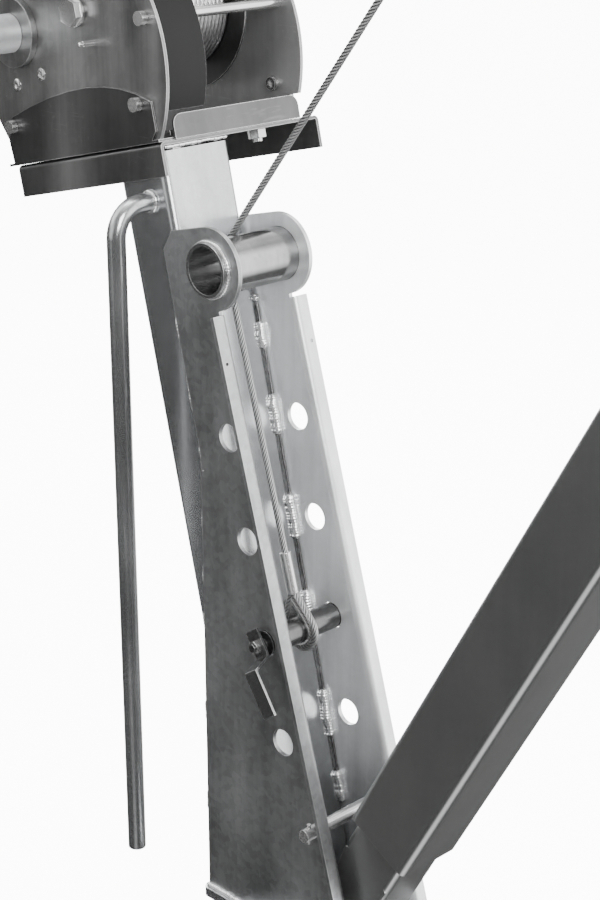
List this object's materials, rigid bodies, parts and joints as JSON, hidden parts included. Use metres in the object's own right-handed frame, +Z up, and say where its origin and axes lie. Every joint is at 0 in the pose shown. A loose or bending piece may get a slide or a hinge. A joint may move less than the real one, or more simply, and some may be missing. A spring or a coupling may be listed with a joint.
{
  "type": "swivel jib crane",
  "caption": "Floor-mounted swivel crane: a leaning box mast with pin-hole cheeks, a hand winch on its head, and a hinged jib on an adjustable wire stay.",
  "frame": {"origin": "on the slewing axis, at the underside of the floor flange", "axes": "+Z up along the slewing axis, +X towards the jib, +Y to the right side of the mast seen from behind the winch"},
  "size_m": [1.7834, 0.4439, 2.4509],
  "materials": {
    "galvanised": "hot-dip galvanised, dull spangle",
    "dark_zinc": "dark weathered zinc",
    "zinc_plate": "zinc plated",
    "grey_paint": "dark grey powder coat",
    "wire_rope": "galvanised wire rope",
    "cast_steel": "machined steel",
    "bronze": "bearing bronze",
    "black_plastic": "textured"
  },
  "bodies": {
    "pedestal": {"floor_flange": "galvanised", "pedestal_tube": "galvanised", "bearing_ring": "galvanised", "upper_slew_bush": "bronze", "lower_slew_bush": "bronze"},
    "mast": {"foot_plate": "galvanised", "turntable_disc": "galvanised", "slew_spigot": "cast_steel", "spine_tube": "galvanised", "cheek_plate_left": "galvanised", "cheek_plate_right": "galvanised", "guide_tube": "galvanised", "stop_rod": "zinc_plate", "stop_rod_roll_pin": "zinc_plate", "turning_handle": "galvanised", "luff_pivot_bolt": "zinc_plate", "stay_cable": "wire_rope", "stay_thimble_lower": "zinc_plate", "stay_loop_lower": "wire_rope", "stay_ferrule_lower": "zinc_plate", "winch_bracket": "galvanised", "winch_bolt_1": "zinc_plate", "winch_bolt_2": "zinc_plate", "winch_bolt_3": "zinc_plate", "winch_bolt_4": "zinc_plate", "winch_side_left": "dark_zinc", "winch_side_right": "dark_zinc", "tie_bar_upper_front": "zinc_plate", "cradle_screw_front": "zinc_plate", "tie_bar_lower_rear": "zinc_plate", "tie_bar_upper_rear": "zinc_plate", "winch_cradle": "dark_zinc", "drum_axle": "zinc_plate", "brake_cover": "dark_zinc", "pawl_pin": "zinc_plate", "gear_cover": "grey_paint"},
    "adjusting_pin": {"adjusting_pin": "dark_zinc", "tab_nut": "zinc_plate"},
    "pull_tab": {"pull_tab": "zinc_plate"},
    "jib": {"jib_outer_tube": "dark_zinc", "jib_arm": "dark_zinc", "pivot_spacer_left": "cast_steel", "pivot_spacer_right": "cast_steel", "head_plate_left": "dark_zinc", "head_plate_right": "dark_zinc", "stay_anchor_pin": "zinc_plate", "sheave_pin": "zinc_plate", "stay_thimble_upper": "zinc_plate", "stay_loop_upper": "wire_rope", "stay_ferrule_upper": "zinc_plate"},
    "head_sheave": {"head_sheave": "cast_steel"},
    "drum": {"rope_drum": "galvanised", "rope_winding": "wire_rope", "drum_gear": "cast_steel"},
    "crank": {"crank_shaft": "zinc_plate", "pinion": "cast_steel", "ratchet_wheel": "cast_steel", "crank_arm": "zinc_plate"},
    "crank_grip": {"crank_grip": "black_plastic"},
    "pawl": {"pawl": "cast_steel"}
  },
  "joints": [
    {"name": "slew", "type": "hinge", "parent": "pedestal", "child": "mast", "pos_m": [0, 0, 0.1], "axis": [0, 0, 1], "continuous": true},
    {"name": "luff", "type": "hinge", "parent": "mast", "child": "jib", "pos_m": [0.087, 0, 0.233], "axis": [0, -1, 0], "range_deg": [0, 12], "deforming": ["stay_cable"]},
    {"name": "pin_pull", "type": "slide", "parent": "mast", "child": "adjusting_pin", "axis": [0, -1, 0], "range_m": [0, 0.15]},
    {"name": "tab_swing", "type": "hinge", "parent": "adjusting_pin", "child": "pull_tab", "pos_m": [-0.00833, 0, 0.54829], "axis": [0, -1, 0], "range_deg": [-40, 90]},
    {"name": "sheave_spin", "type": "hinge", "parent": "jib", "child": "head_sheave", "pos_m": [1.18932, 0, 2.36602], "axis": [0, -1, 0], "continuous": true},
    {"name": "drum_spin", "type": "hinge", "parent": "mast", "child": "drum", "pos_m": [-0.30564, 0, 1.21264], "axis": [0, -1, 0], "continuous": true},
    {"name": "crank_spin", "type": "hinge", "parent": "mast", "child": "crank", "pos_m": [-0.41638, 0, 1.17984], "axis": [0, -1, 0], "continuous": true},
    {"name": "grip_spin", "type": "hinge", "parent": "crank", "child": "crank_grip", "pos_m": [-0.41638, -0.2, 0.92984], "axis": [0, -1, 0], "continuous": true},
    {"name": "pawl_swing", "type": "hinge", "parent": "mast", "child": "pawl", "pos_m": [-0.42214, 0, 1.2381], "axis": [0, -1, 0], "range_deg": [0, 25], "stiffness_Nm_per_rad": 0.5, "springref_deg": -5.73}
  ],
  "couplings": [
    {"joint": "crank_spin", "follows": "drum_spin", "ratio": -4.5}
  ]
}
